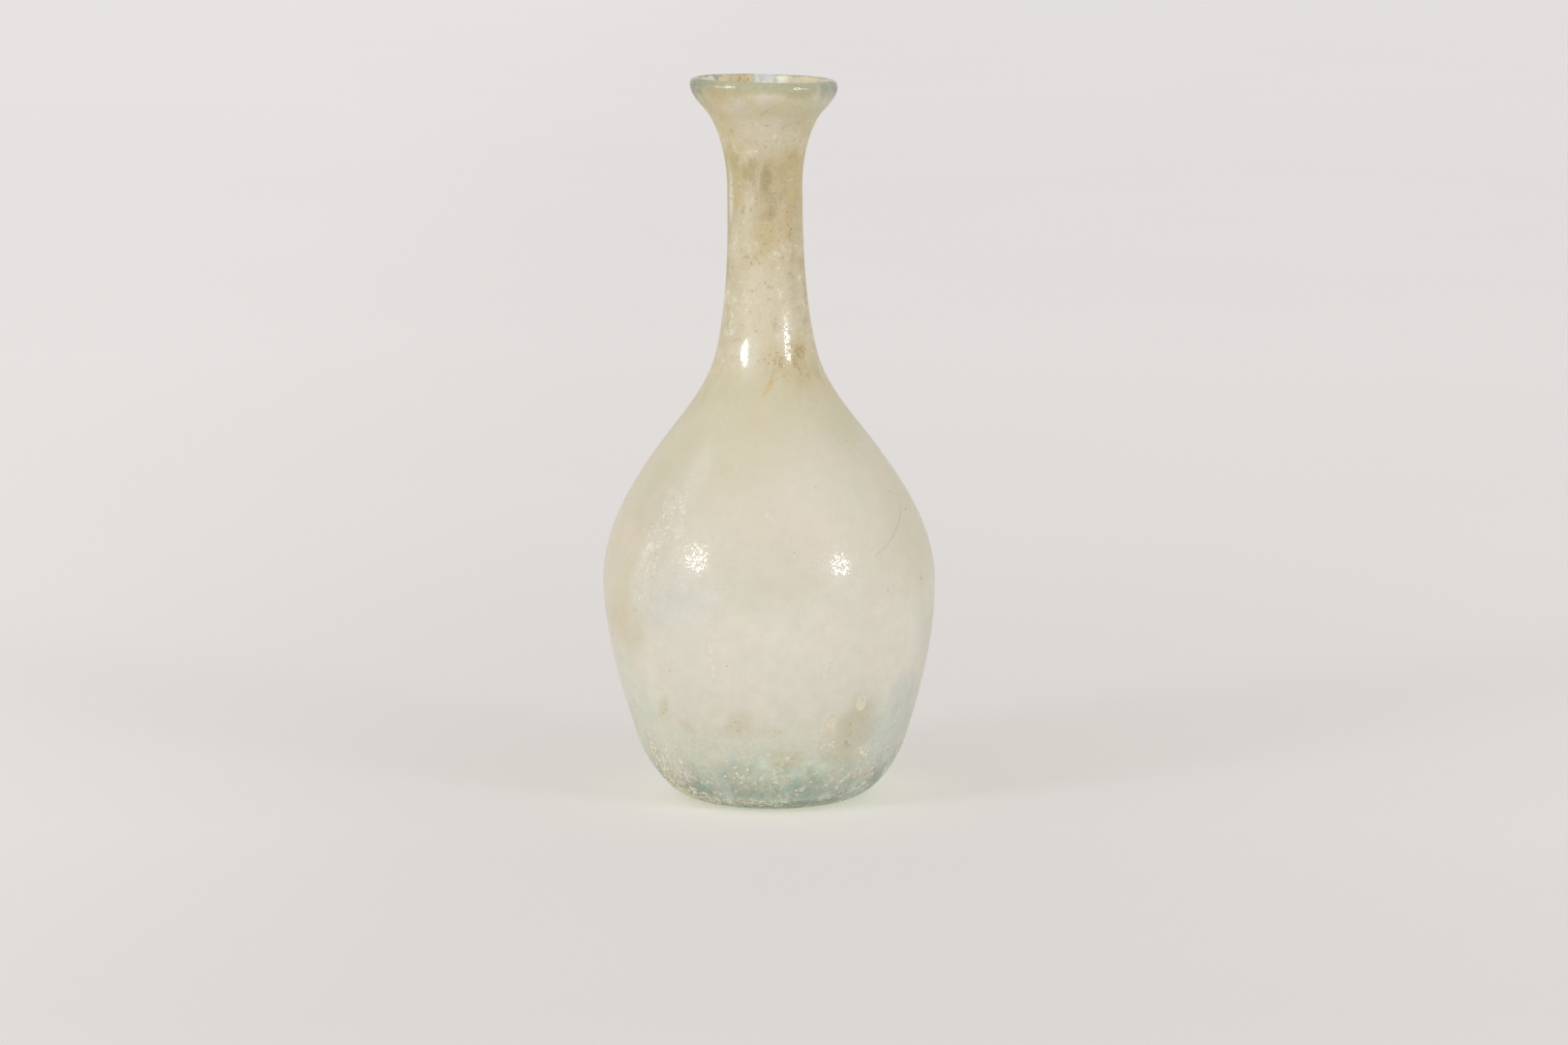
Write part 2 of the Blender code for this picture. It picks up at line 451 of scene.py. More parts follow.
# Each stain: azimuth in degrees, height, half width, half height in mm, lean in degrees, strength, tone.
# Some are painted highlights and painted edge shade, marked below.
FILM_STAINS_AND_PAINTED_LIGHT = [
    (-1, 67.9, 10, 8, 20, 0.5, ROSY_CREAM), (12, 56, 13, 10, -15, 0.5, ROSY_CREAM),
    (-70, 64, 7, 14, 0, 0.5, (0.59, 0.53, 0.39)), (-24, 69, 12, 7, 0, 0.42, STRAW),
    # The two stains on this line and the first on the next whiten the skin round the two neck highlights:
    # painted highlight.
    (-26, 86.6, 3, 4.2, 0, 0.4, (0.69, 0.68, 0.61)), (-22, 88, 1.8, 3, 0, 0.55, (0.8, 0.8, 0.78)),
    (26, 91.5, 1.5, 5, 0, 0.45, (0.8, 0.79, 0.77)), (-36, 66.5, 2.4, 6.5, 0, 0.4, PALE_CREAM),
    (64, 76, 8, 6, 25, 0.4, OLIVE), (36, 58, 13, 12, 0, 0.3, PALE_CREAM), (-53, 59, 7, 9, 10, 0.35, OLIVE),
    # The stains at (-66, 46), (-55, 39.5), (70, 54), (75, 40), (-66, 33) and (74, 31) darken the body's
    # sides: painted edge shade.
    (-66, 46, 8, 13, 0, 0.2, (0.54, 0.455, 0.25)), (-55, 39.5, 8, 7, 10, 0.22, (0.54, 0.455, 0.25)),
    (-34, 43, 9, 7, 10, 0.4, (0.63, 0.628, 0.61)), (-27, 34, 8, 6, 30, 0.45, PALE_CREAM),
    (22, 33, 15, 14, 0, 0.45, (0.74, 0.7, 0.62)), (70, 54, 8, 14, 0, 0.35, OLIVE),
    (75, 40, 7, 16, 0, 0.15, SEA_GREY), (-66, 33, 7, 9, 0, 0.16, TAN),
    # The stain in pale cream at (-3, 51.5) is a faint painted highlight on the body.
    (36, 17, 4.6, 7.6, -8, 0.4, (0.455, 0.425, 0.32)), (-3, 51.5, 3.4, 2.4, 0, 0.3, PALE_CREAM),
    (5, 48.5, 8, 6, 0, 0.24, (0.57, 0.51, 0.425)), (74, 31, 5, 9, 0, 0.42, (0.52, 0.53, 0.46)),
    (-66, 20, 6, 10, 10, 0.75, SEA_GREY), (52, 12, 7, 9, 30, 0.6, BLUE_GREY),
    (64, 16.5, 7, 9, 12, 0.6, (0.49, 0.55, 0.545)), (-24, 6, 9, 3, 0, 0.68, (0.345, 0.46, 0.43)),
    (12, 5.6, 9, 2.6, 0, 0.7, (0.33, 0.44, 0.415)), (4, 1.6, 16, 1.4, 0, 0.38, DEEP_SEA),
    (-9, 7.4, 3.8, 2.2, 0, 0.45, (0.36, 0.45, 0.42)), (11, 7.4, 3.8, 2.2, 0, 0.45, (0.36, 0.45, 0.42)),
    (42, 11, 4, 3, 0, 0.35, BLUE_GREY), (46, 83.5, 7, 5.5, 0, 0.38, (0.5, 0.425, 0.25)),
    (10, 86, 5, 3, 0, 0.3, ROSY_CREAM), (0, 77.5, 6, 5.5, 0, 0.28, (0.51, 0.455, 0.28)),
    (0, 96.2, 1.8, 2.2, 0, 0.4, STRAW), (-52, 93, 2, 10, 0, 0.35, SEA_GREY),
    (-36, 97, 3, 8, 0, 0.25, STRAW), (34, 110, 2.6, 7, 0, 0.25, TAN),
    (-14, 116.8, 2.3, 3.4, 0, 0.78, (0.68, 0.665, 0.585)),
    (-19, 95.6, 3.2, 5.4, 0, 0.42, (0.7, 0.675, 0.6)), (-2, 127.5, 4, 3, 20, 0.45, PALE_CREAM),
    # The first stain below, in chalk at (-20, 126), is a painted glint where a highlight falls on the neck.
    (-20, 126, 1.3, 1.2, 0, 0.95, CHALK), (-30, 128.5, 3, 3, 0, 0.35, TAN),
    (20, 109.5, 1.5, 2.2, 0, 0.5, PALE_CREAM), (53, 103, 1.2, 2.2, 0, 0.7, CHALK),
    (-34, 112, 1.4, 5, 0, 0.4, SEA_GREY), (14, 113, 3.5, 7, 0, 0.45, TAN),
    # The stains in the edge tan darken the neck at both sides: painted edge shade.
    (-50, 124, 2.4, 3.8, -10, 0.8, (0.43, 0.38, 0.195)), (-76, 116, 2.8, 9, 0, 0.5, EDGE_SHADE_TAN),
    (-75, 101, 3.6, 14, 0, 0.8, EDGE_SHADE_TAN), (69, 101, 3.6, 13, 0, 0.78, EDGE_SHADE_TAN),
    (-46, 101, 2.4, 9, 0, 0.25, STRAW), (-64, 132, 4.6, 4.6, 0, 0.58, (0.5, 0.4, 0.19)),
    (-63, 118, 0.8, 4.2, 0, 0.9, (0.76, 0.79, 0.72)), (-52, 108, 1.3, 6, 0, 0.5, SEA_GREY),
    (3, 121.2, 1.3, 2.2, -12, 0.95, BLOTCH), (-19, 122.8, 1.8, 3.2, 10, 0.5, BLOTCH),
    (-8, 122, 0.7, 2.6, -8, 0.7, PALE_CREAM), (10, 117.6, 2.2, 1.3, 0, 0.55, BLOTCH),
    (8, 115.5, 2.8, 1.7, 0, 0.6, (0.34, 0.295, 0.19)), (3, 114.1, 1.7, 0.9, 10, 0.6, BLOTCH),
    (-6, 120.5, 5.4, 3.6, 0, 0.28, (0.4, 0.33, 0.19)), (3, 109.6, 1.8, 1.1, 0, 0.32, (0.48, 0.37, 0.19)),
    (6, 123.5, 4, 3.6, 0, 0.3, (0.43, 0.35, 0.19)), (-1, 101.5, 2.6, 4, 8, 0.6, PALE_CREAM),
    (32, 97, 3.4, 6, 0, 0.45, CREAM), (-2, 133.5, 5, 3.6, 0, 0.5, POWDER),
    (35, 87.6, 4.2, 2.8, 20, 0.38, (0.53, 0.39, 0.17)), (-10, 130, 5, 3.4, 0, 0.45, CREAM),
    (24, 130, 5, 4, 0, 0.45, PALE_CREAM), (4, 130.5, 4, 2.6, 0, 0.4, PALE_CREAM),
    (-27, 135, 4.6, 1.6, 0, 0.65, PALE_CREAM), (2, 136.6, 2.4, 1, 0, 0.65, PALE_CREAM),
    (-42, 136.4, 3.6, 2.2, 20, 0.55, OCHRE), (56, 132, 4.6, 4.6, 0, 0.58, (0.46, 0.42, 0.27)),
    # The stains in lip grey at (84, 138.8) and (-80, 138.6) darken both ends of the lip: painted edge
    # shade.
    (60, 137, 4, 3, 0, 0.5, BLUE_GREY), (84, 138.8, 7, 2.4, 0, 0.85, LIP_END_SHADE),
    (-80, 138.6, 7, 2.8, 0, 0.85, LIP_END_SHADE), (150, 60, 18, 14, 20, 0.5, ROSY_CREAM),
    (-140, 40, 14, 16, 0, 0.45, TAN), (110, 22, 14, 10, 0, 0.5, SEA_GREY),
    (170, 14, 16, 7, 10, 0.55, BLUE_GREY), (-110, 76, 9, 9, 0, 0.45, OLIVE),
    (120, 110, 5, 13, 0, 0.4, OLIVE), (-130, 120, 4, 6, 0, 0.5, TAN),
]
# Each spot where soil or chalk is denser: as a stain, with the density that it raises the film to
SOIL_SPOTS = [
    (-20, 122.3, 1.8, 3.4, 0, 0.66), (4, 121, 1.5, 2.6, -12, 0.9), (9, 118, 2, 1.4, 0, 0.7),
    (6, 114.5, 2.4, 1.5, 0, 0.6), (38, 112, 2, 3, 0, 0.55), (20, 97, 1.6, 6, 0, 0.5),
    (36, 88.2, 3.2, 2.5, 20, 0.71), (22, 85.6, 7, 3, -20, 0.5), (-2, 87.5, 4, 1.6, 0, 0.45),
    (46, 84.8, 3.4, 2.4, -30, 0.56), (24, 106.5, 0.9, 2.6, 0, 0.6), (-47, 124, 1.3, 3, -15, 0.5),
    (-12, 18.9, 3, 2.6, 30, 0.41), (0, 17.8, 2.6, 1.2, 0, 0.24), (34, 17.5, 4, 7, -8, 0.34),
    (7, 12.2, 3.2, 1.5, 0, 0.4), (-45, 21, 1, 2.8, -35, 0.42), (-35, 17.8, 2.3, 0.9, -35, 0.42),
    (150, 18, 7, 3, 0, 0.6), (-120, 14, 9, 3, 0, 0.6), (110, 85, 5, 3, 0, 0.62), (180, 92, 5, 5, 0, 0.5),
    (-150, 121, 3, 4, 0, 0.7), (130, 55, 4, 7, 20, 0.42), (-160, 64, 7, 4, 0, 0.4),
]
CHALK_SPOTS_AND_PAINTED_HIGHLIGHTS = [
    (-41, 60, 2.2, 4.6, 40, 0.42), (-47, 52, 2.8, 6, -5, 0.42), (-36, 55.6, 2, 2.2, 0, 0.38),
    (-50, 44, 2.8, 3.6, 0, 0.32), (-20.5, 33, 0.7, 8, 0, 0.34), (19.5, 30, 2.2, 0.7, 45, 0.48),
    (41, 12, 2.2, 1.8, 30, 0.4), (23, 14, 2.4, 1.2, 0, 0.5), (45, 8, 4, 2.2, 0, 0.48),
    (-50, 7, 5, 4.5, 20, 0.62), (-14, 8.4, 4, 1.6, 0, 0.55), (6, 7.9, 3, 1.4, 0, 0.52),
    (-8, 2.6, 8, 1.4, 0, 0.6), (140, 8, 9, 3, 0, 0.6), (-150, 9, 9, 4, 0, 0.6), (-100, 54, 5, 9, 30, 0.6),
    # The last two spots, at (-27, 88) and (30, 92), put chalky specks round the two neck highlights:
    # painted highlight.
    (100, 64, 5, 6, -30, 0.55), (160, 40, 6, 9, 0, 0.5), (-27, 88, 1.2, 2.4, 0, 0.5),
    (30, 92, 1, 3, 0, 0.45),
]

# Two places in the far side of the mouth are nearly clear: how much of either film is worn off there
WORN_SHARE = 0.68
CLEAR_WINDOWS = [(180, 139.5, 2.3, 5, 0), (-128, 139.5, 1.5, 2.6, 0)]


def lengths(line):
    """The distance along a line from its start to each of its points."""
    return np.concatenate([[0.0], np.cumsum(np.linalg.norm(np.diff(line, axis=0), axis=1))])


wall = outer_line(60)
wall_length = lengths(wall)


def along_wall(height):
    """The distance along the outer face from the foot to a height."""
    return np.interp(height, wall[:, 1], wall_length)


def evenly(line, count):
    """So many points at even distances along a line."""
    length = lengths(line)
    at = np.linspace(0.0, length[-1], count)
    return np.column_stack([np.interp(at, length, line[:, 0]), np.interp(at, length, line[:, 1])])


def spot_share(azimuth, radius, height, spot, soft):
    """From 1 in the middle of an oval spot to 0 past its ragged edge: 1 less the smoothed distance from
    the middle, in half widths and half heights along the wall. The edge is as wide as it is soft."""
    at, level, half_width, half_height, lean = spot[:5]
    ragged = 0.2 * mottle(azimuth, height, 90, 0.0022, 31) + 0.35 * mottle(azimuth, height, 34, 0.006, 32)
    turned = (azimuth - math.radians(at) + math.pi) % (2 * math.pi) - math.pi
    across = turned * radius * MM
    up = (along_wall(height) - along_wall(level / MM)) * MM
    cos, sin = math.cos(math.radians(lean)), math.sin(math.radians(lean))
    far = np.hypot((across * cos + up * sin) / half_width, (up * cos - across * sin) / half_height)
    return eased(np.clip((1.0 + 0.5 * soft - far + ragged) / soft, 0.0, 1.0))


def uneven_level(azimuth, height):
    """The height in mm that a wall's tones and densities are read at, so that their bands waver."""
    uneven = 2.4 * mottle(azimuth, height, 9, 0.014, 33) + 1.6 * mottle(azimuth, height, 40, 0.005, 34)
    calm = np.clip(height / 0.006, 0.0, 1.0) * np.clip((LIP_HEIGHT + 0.001 - height) / 0.006, 0.08, 1.0)
    return height * MM + uneven * calm


def by_height(level, steps):
    """The number or the colour for each height, in straight lines between the steps."""
    heights, values = zip(*steps)
    values = np.array(values, float)
    if values.ndim == 1:
        return np.interp(level, heights, values)
    return np.stack([np.interp(level, heights, values[:, part]) for part in range(3)], axis=-1)


def stained(tone, grid, stains):
    """The tones with each stain laid over; on the film some are painted highlights and painted edge shade.
    """
    for stain in stains:
        share = spot_share(*grid, stain, 1.3) * stain[5]
        tone = tone + share[..., None] * (np.array(stain[6]) - tone)
    return tone


def denser(density, grid, spots):
    """The density raised at each spot."""
    for spot in spots:
        density = np.maximum(density, spot_share(*grid, spot, 1.1) * spot[5])
    return density


def cleared(cover, grid):
    """The cover worn off at the clear windows."""
    for window in CLEAR_WINDOWS:
        cover = cover * (1 - WORN_SHARE * spot_share(*grid, window, 0.5))
    return cover


def deepened(tone, grid, level):
    """The tones with bare sea-green patches near the base, where a smooth unevenness is high."""
    patch = mottle(grid[0], grid[2], 64, 0.0032, 35) + 0.6 * mottle(grid[0], grid[2], 150, 0.0014, 36)
    belt = np.clip((13.0 - level) / 7.0, 0.0, 1.0) * np.clip(0.4 + level / 5.0, 0.0, 1.0)
    share = np.clip(0.56 + patch, 0.0, 1.0) * belt * 0.85
    return tone + share[..., None] * (np.array(DEEP_SEA) - tone)


def speckled(tree, density, grain, first, last):
    """A mask of grains: where the density and the unevenness together pass a limit."""
    return ranged(tree, times(tree, grain, 0.6, density), first, last)


def film_material():
    """Milky weathering: its tone, cover, soil and chalk are painted on, and noise breaks them up.
    The tone also holds painted highlights and painted edge shade.
    """
    material, tree, shader = new_material(
        "milky_weathering", IOR=1.42, Specular_IOR_Level=0.3, Coat_IOR=1.9, Coat_Roughness=0.125
    )
    clouds, patches, flecks, grains = mineral(tree)
    tone, cover, soil, chalk, gloss = (
        painted(tree, name) for name in ("tone", "cover", "soil", "chalk", "gloss")
    )
    rosy, cloudy = ranged(tree, clouds, -0.7, 0.7), ranged(tree, patches, -0.6, 0.6)
    tone = shaded(tree, tone, rosy, (1.01, 0.985, 0.975), (0.96, 0.99, 0.965))
    tone = shaded(tree, tone, cloudy, (0.97, 0.97, 0.96), (1.02, 1.02, 1.02))
    blotched = shaded(tree, tone, cloudy, (0.85, 0.83, 0.77), (1.14, 1.15, 1.19))
    tone = mixed(tree, times(tree, soil, 1.8), tone, blotched)
    wet = ranged(tree, times(tree, flecks, 0.8, times(tree, patches, 0.6)), -0.5, 0.6)
    tone = mixed(tree, times(tree, times(tree, wet, soil), 1.4), tone, SOAKED)
    powdery = times(tree, times(tree, sums(tree, "SUBTRACT", 1.0, cloudy), chalk), 2.4)
    powder = mixed(tree, times(tree, soil, 4.0), PALE_CREAM, POWDER)
    tone = mixed(tree, powdery, tone, powder)
    flecked = shaded(tree, tone, ranged(tree, flecks, -0.7, 0.7), (0.88, 0.86, 0.82), (1.06, 1.06, 1.07))
    tone = mixed(tree, sums(tree, "ADD", soil, chalk), tone, flecked)
    grit = times(tree, grains, 0.5, flecks)
    soil_mask = speckled(tree, soil, times(tree, patches, 0.5, grit), 0.66, 0.9)
    tone = mixed(tree, times(tree, soil_mask, 0.5), tone, SOIL_BROWN)
    chalk_mask = speckled(tree, chalk, times(tree, patches, -0.7, grit), 0.7, 1.05)
    tone = mixed(tree, times(tree, chalk_mask, 0.7), tone, CHALK)
    ragged = times(tree, times(tree, patches, 1.4, flecks), times(tree, cover, -0.34, 0.36), cover)
    alpha = ranged(tree, ragged, 0.1, 1.0, 0.0, 0.95, interpolation_type="SMOOTHSTEP")
    alpha = sums(tree, "MAXIMUM", alpha, times(tree, chalk_mask, 0.9))
    alpha = sums(tree, "MAXIMUM", alpha, times(tree, soil_mask, 0.8))
    dirt = sums(tree, "MAXIMUM", soil_mask, chalk_mask)
    pearly = ranged(tree, gloss, 0.2, 0.6)
    flake = times(tree, ranged(tree, grains, 0.0, 0.4), sums(tree, "SUBTRACT", pearly, dirt))
    rough = ranged(tree, flake, 0.0, 0.8, 0.44, 0.12)
    skin = times(tree, gloss, 1.6, times(tree, flecks, 0.6, times(tree, grains, 1.1)))
    varnish = ranged(tree, sums(tree, "SUBTRACT", skin, dirt), 1.25, 1.95)
    fine = times(tree, flecks, times(tree, pearly, 1.1, 0.5), chalk_mask)
    bump = rippled(tree, 0.14, times(tree, flake, 1.4, fine))
    feed(tree, shader, Base_Color=tone, Alpha=alpha, Roughness=rough, Coat_Weight=varnish, Normal=bump)
    lets_lamps_through(tree, shader, (0.93, 0.915, 0.89))
    return material


over_the_lip = lip_line(LIP_STEPS, -FILM_SINK)[::-1][:FILM_LIP_ROWS]
outer_face = evenly(np.concatenate([outer_line(40, FILM_SINK), over_the_lip]), FILM_ROWS)
film_grid = round_the_axis(np.concatenate([base_line(BASE_STEPS, FILM_SINK), outer_face]), FILM_COLUMNS)
film_level = uneven_level(film_grid[0], film_grid[2])
film_tone_with_painted_light = stained(by_height(film_level, FILM_TONES), film_grid, FILM_STAINS_AND_PAINTED_LIGHT)
film = surface(
    "weathering_film_and_painted_light",
    hand_blown(*film_grid),
    pole_at_start=True,
    tone=deepened(film_tone_with_painted_light, film_grid, film_level),
    cover=cleared(by_height(film_level, FILM_COVER), film_grid),
    gloss=denser(by_height(film_level, FILM_GLOSS), film_grid, GLOSS_SPOTS),
    soil=denser(by_height(film_level, FILM_SOIL), film_grid, SOIL_SPOTS),
    chalk=denser(by_height(film_level, FILM_CHALK), film_grid, CHALK_SPOTS_AND_PAINTED_HIGHLIGHTS),
)
film.data.materials.append(film_material())
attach(film, "root")


# The soil film inside
# Fine soil and dried oil cling to the inner face: dense and tan in the mouth and neck, thin over the
# body, darker where it settled on the floor. It too is worn at the two windows in the mouth's far side.
RESIDUE_RISE = 0.00004
RESIDUE_COLUMNS = 220
RESIDUE_ROWS = 270
RESIDUE_LIP_ROWS = 7
RESIDUE_COVER = [
    (4, 0.55), (8, 0.5), (14, 0.4), (30, 0.35), (60, 0.4), (80, 0.62), (95, 0.85), (125, 0.92),
    (139.3, 0.9), (139.6, 0.8), (139.7, 0.1),
]
RESIDUE_TONES = [
    (4, STRAW), (10, SEA_GREY), (20, CREAM), (60, CREAM), (85, STRAW), (100, TAN), (125, TAN), (134, STRAW),
    (137, POWDER), (139.4, POWDER),
]
RESIDUE_STAINS = [
    (-160, 138.6, 1.6, 1, 0, 0.6, OCHRE), (-148, 138, 2, 2.4, 0, 0.5, TAN),
    (163, 138.2, 2.4, 1.6, 0, 0.9, CHALK), (150, 137, 2.6, 2.2, 0, 0.6, STRAW),
    (125, 137, 2.6, 2.2, 0, 0.6, TAN),
]
RESIDUE_SOIL = [(4, 0.35), (10, 0.3), (20, 0.1), (75, 0.05), (90, 0.35), (125, 0.45), (137, 0.25)]
RESIDUE_SOIL_SPOTS = [
    (-20, 122, 1.8, 3.4, 0, 0.85), (3, 121, 1.6, 3, -10, 0.95), (-163, 138.2, 1.6, 0.8, 0, 0.65),
    (168, 138, 1.2, 0.8, 0, 0.6),
]


def residue_material():
    """Dull clinging soil, painted as the outer film is, and grainier."""
    material, tree, shader = new_material("soil_film", Specular_IOR_Level=0.3)
    _, patches, flecks, grains = mineral(tree)
    tone, cover, soil = (painted(tree, name) for name in ("tone", "cover", "soil"))
    tone = shaded(tree, tone, ranged(tree, patches, -0.9, 0.9), (0.88, 0.86, 0.82), (1.06, 1.06, 1.05))
    soil_mask = speckled(tree, soil, times(tree, grains, 0.8, flecks), 0.62, 0.9)
    tone = mixed(tree, times(tree, soil_mask, 0.8), tone, SOIL_BROWN)
    ragged = times(tree, flecks, 0.16, times(tree, patches, 0.24, cover))
    alpha = ranged(tree, ragged, 0.15, 0.95, 0.0, 0.95, interpolation_type="SMOOTHSTEP")
    rough = ranged(tree, patches, -0.8, 0.8, 0.65, 0.9)
    feed(tree, shader, Base_Color=tone, Alpha=alpha, Roughness=rough, Normal=rippled(tree, 0.25, flecks))
    lets_lamps_through(tree, shader, (0.92, 0.89, 0.83))
    return material


up_the_lip = lip_line(LIP_STEPS, RESIDUE_RISE)[:RESIDUE_LIP_ROWS]
inner_face = np.concatenate([inner_line(30, RESIDUE_RISE), up_the_lip])
residue_grid = round_the_axis(evenly(inner_face, RESIDUE_ROWS)[::-1], RESIDUE_COLUMNS)
residue_level = uneven_level(residue_grid[0], residue_grid[2])
residue = surface(
    "soil_film_inside",
    hand_blown(*residue_grid),
    pole_at_end=True,
    tone=stained(by_height(residue_level, RESIDUE_TONES), residue_grid, RESIDUE_STAINS),
    cover=cleared(by_height(residue_level, RESIDUE_COVER), residue_grid),
    soil=denser(by_height(residue_level, RESIDUE_SOIL), residue_grid, RESIDUE_SOIL_SPOTS),
)
residue.data.materials.append(residue_material())
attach(residue, "root")


# Scratches, specks and stuck soil
# Marks in the skin of the film: a fine curved scratch, rubbed streaks, a rusty dash of soil, pits
# where a grain has fallen out, and a dark line of painted shade along the bottom edge. Each is thinner than
# a hair and lies flush on the film.
MARK_LIFT = -0.00002
MARK_STEPS = 26
MARK_LANES = 7
# Each mark: its path as (azimuth, height in mm), half width in mm, strength, tone
MARKS = [
    ([(71, 61.6), (67, 58.8), (57, 55.3), (47.4, 52.4), (40, 50.9)], 0.32, 0.16, SLATE),
    ([(-20, 39), (-20.8, 33), (-21.7, 28.3), (-21, 26)], 0.4, 0.34, CHALK),
    ([(17.5, 29), (19.5, 30.2), (22.5, 31.4)], 0.75, 0.34, CHALK),
    ([(61.5, 21.5), (59.5, 18.5), (57.5, 16.2)], 0.22, 0.9, CHALK),
    ([(64.5, 20), (62, 17)], 0.16, 0.8, CHALK), ([(57, 15), (54, 12.2)], 0.18, 0.8, CHALK),
    ([(50, 14), (47, 11)], 0.2, 0.7, CHALK),
    # The slate line along the bottom edge is painted shade where the flask meets the floor.
    ([(-10, 2.3), (8, 1.9), (26, 1.8), (46, 2.6)], 0.45, 0.5, SLATE),
    ([(-6, 0.9), (14, 0.8), (36, 1)], 0.28, 0.8, OCHRE),
    ([(-4.5, 80.1), (0, 81), (3.5, 82.2), (5.5, 83.6)], 0.62, 0.62, OCHRE),
    ([(1, 81.6), (5, 82.6), (12, 83.2)], 0.5, 0.4, OCHRE),
    ([(4.5, 83), (9, 84.6), (17, 85.2)], 0.8, 0.4, TAN),
    ([(-24, 66), (-17, 67.5), (-14, 66)], 0.4, 0.14, CHALK),
    ([(2.5, 60.5), (-2, 58.8), (-5, 57)], 0.9, 0.16, CHALK),
    ([(-38.5, 64.5), (-36.8, 62.4), (-37.5, 60.2)], 0.55, 0.34, CHALK),
    ([(-47.5, 61), (-46.4, 59.4), (-43, 58.6)], 0.4, 0.4, CHALK),
    ([(-41.5, 59), (-40.3, 57.6), (-41.5, 55)], 0.6, 0.34, CHALK),
    ([(-41, 55.5), (-42.7, 53.8), (-44.8, 51.5)], 0.5, 0.4, CHALK),
    ([(-46, 55.5), (-47.5, 54), (-48, 51)], 0.45, 0.4, CHALK),
    ([(-42, 51), (-43.4, 48.9), (-43, 46.5)], 0.4, 0.36, CHALK),
    ([(-45.5, 50), (-46.7, 47.6), (-47.6, 45)], 0.55, 0.34, CHALK),
    ([(-36, 58), (-34.5, 56.8), (-35, 55)], 0.4, 0.3, CHALK),
    ([(-47, 44.5), (-47.4, 42.9), (-49.5, 40.5)], 0.5, 0.3, CHALK),
    ([(-51.5, 43), (-52.2, 41.4), (-51.8, 39.5)], 0.4, 0.3, CHALK),
    ([(115, 70), (125, 62), (128, 52)], 0.3, 0.6, CHALK),
    ([(-100, 30), (-112, 36), (-118, 44)], 0.3, 0.28, SLATE),
    ([(170, 88), (174, 84), (182, 80)], 0.55, 0.35, TAN),
    ([(-160, 26), (-150, 24), (-142, 20)], 0.5, 0.55, CHALK),
]
# Each pit: azimuth, height and radius in mm
PITS = [
    (21.9, 64, 0.24), (-50.3, 56.2, 0.28), (65.3, 45, 0.5), (63.3, 61.6, 0.2), (51.6, 71.3, 0.17),
    (69.9, 57.8, 0.26), (-43.4, 51, 0.22), (44.6, 44.3, 0.2), (9.3, 52.7, 0.16), (-15, 31, 0.2),
    (-38, 29, 0.18), (40.3, 131.8, 0.34), (3.3, 131.4, 0.22), (20.2, 137.1, 0.26), (35.9, 112.2, 0.26),
    (43.2, 111.3, 0.26), (8.4, 114.2, 0.24), (7.7, 118.3, 0.2), (10, 119, 0.15), (13.5, 118.4, 0.14),
    (12.5, 120, 0.12), (2, 119.4, 0.12), (33, 87.2, 0.2), (37, 88, 0.22), (41, 86.9, 0.16),
    (35.5, 89.2, 0.15), (30, 85.9, 0.16), (45.5, 85.2, 0.18), (23, 86.6, 0.14), (17, 85.3, 0.14),
    (-13.6, 19.7, 0.15), (-11.2, 18.7, 0.18), (-10.2, 17.8, 0.13), (-13, 18, 0.13), (1.6, 17.9, 0.13),
    (130, 66, 0.45), (160, 33, 0.4), (-95, 62, 0.4), (-140, 70, 0.35), (-170, 48, 0.45), (100, 38, 0.35),
    (-120, 100, 0.35), (150, 128, 0.35), (-75, 33, 0.35), (85, 84, 0.35),
]

wall_slope = np.gradient(wall, axis=0)
wall_outwards = np.column_stack([wall_slope[:, 1], -wall_slope[:, 0]])
wall_outwards /= np.linalg.norm(wall_outwards, axis=1, keepdims=True)


def on_wall(azimuth, along, lift):
    """Points at an azimuth and a distance along the outer face, lifted off it square to the wall."""
    radius, height = (
        np.interp(along, wall_length, wall[:, part])
        + lift * np.interp(along, wall_length, wall_outwards[:, part])
        for part in (0, 1)
    )
    return hand_blown(azimuth, radius, np.maximum(height, -MARK_LIFT))


def mark_grid(path, half_width):
    """A strip of azimuths and distances along the wall: a polynomial curve through the path's points,
    with a half width of w * sqrt(1 - s^2) from end to end."""
    share = np.linspace(0.0, 1.0, MARK_STEPS)
    knots = np.linspace(0.0, 1.0, len(path))
    degree = min(3, len(path) - 1)
    azimuth = np.polyval(np.polyfit(knots, np.radians([a for a, h in path]), degree), share)
    along = np.polyval(np.polyfit(knots, [float(along_wall(h / MM)) for a, h in path], degree), share)
    radius = np.interp(along, wall_length, wall[:, 0])
    right, up = np.gradient(azimuth) * radius, np.gradient(along)
    reach = np.hypot(right, up)
    width = half_width / MM * np.sqrt(1.0 - 0.99 * (2 * share - 1) ** 2)
    lane = np.linspace(-1.0, 1.0, MARK_LANES)
    azimuth = azimuth[:, None] - (up / reach * width / radius)[:, None] * lane
    along = along[:, None] + (right / reach * width)[:, None] * lane
    return azimuth, along


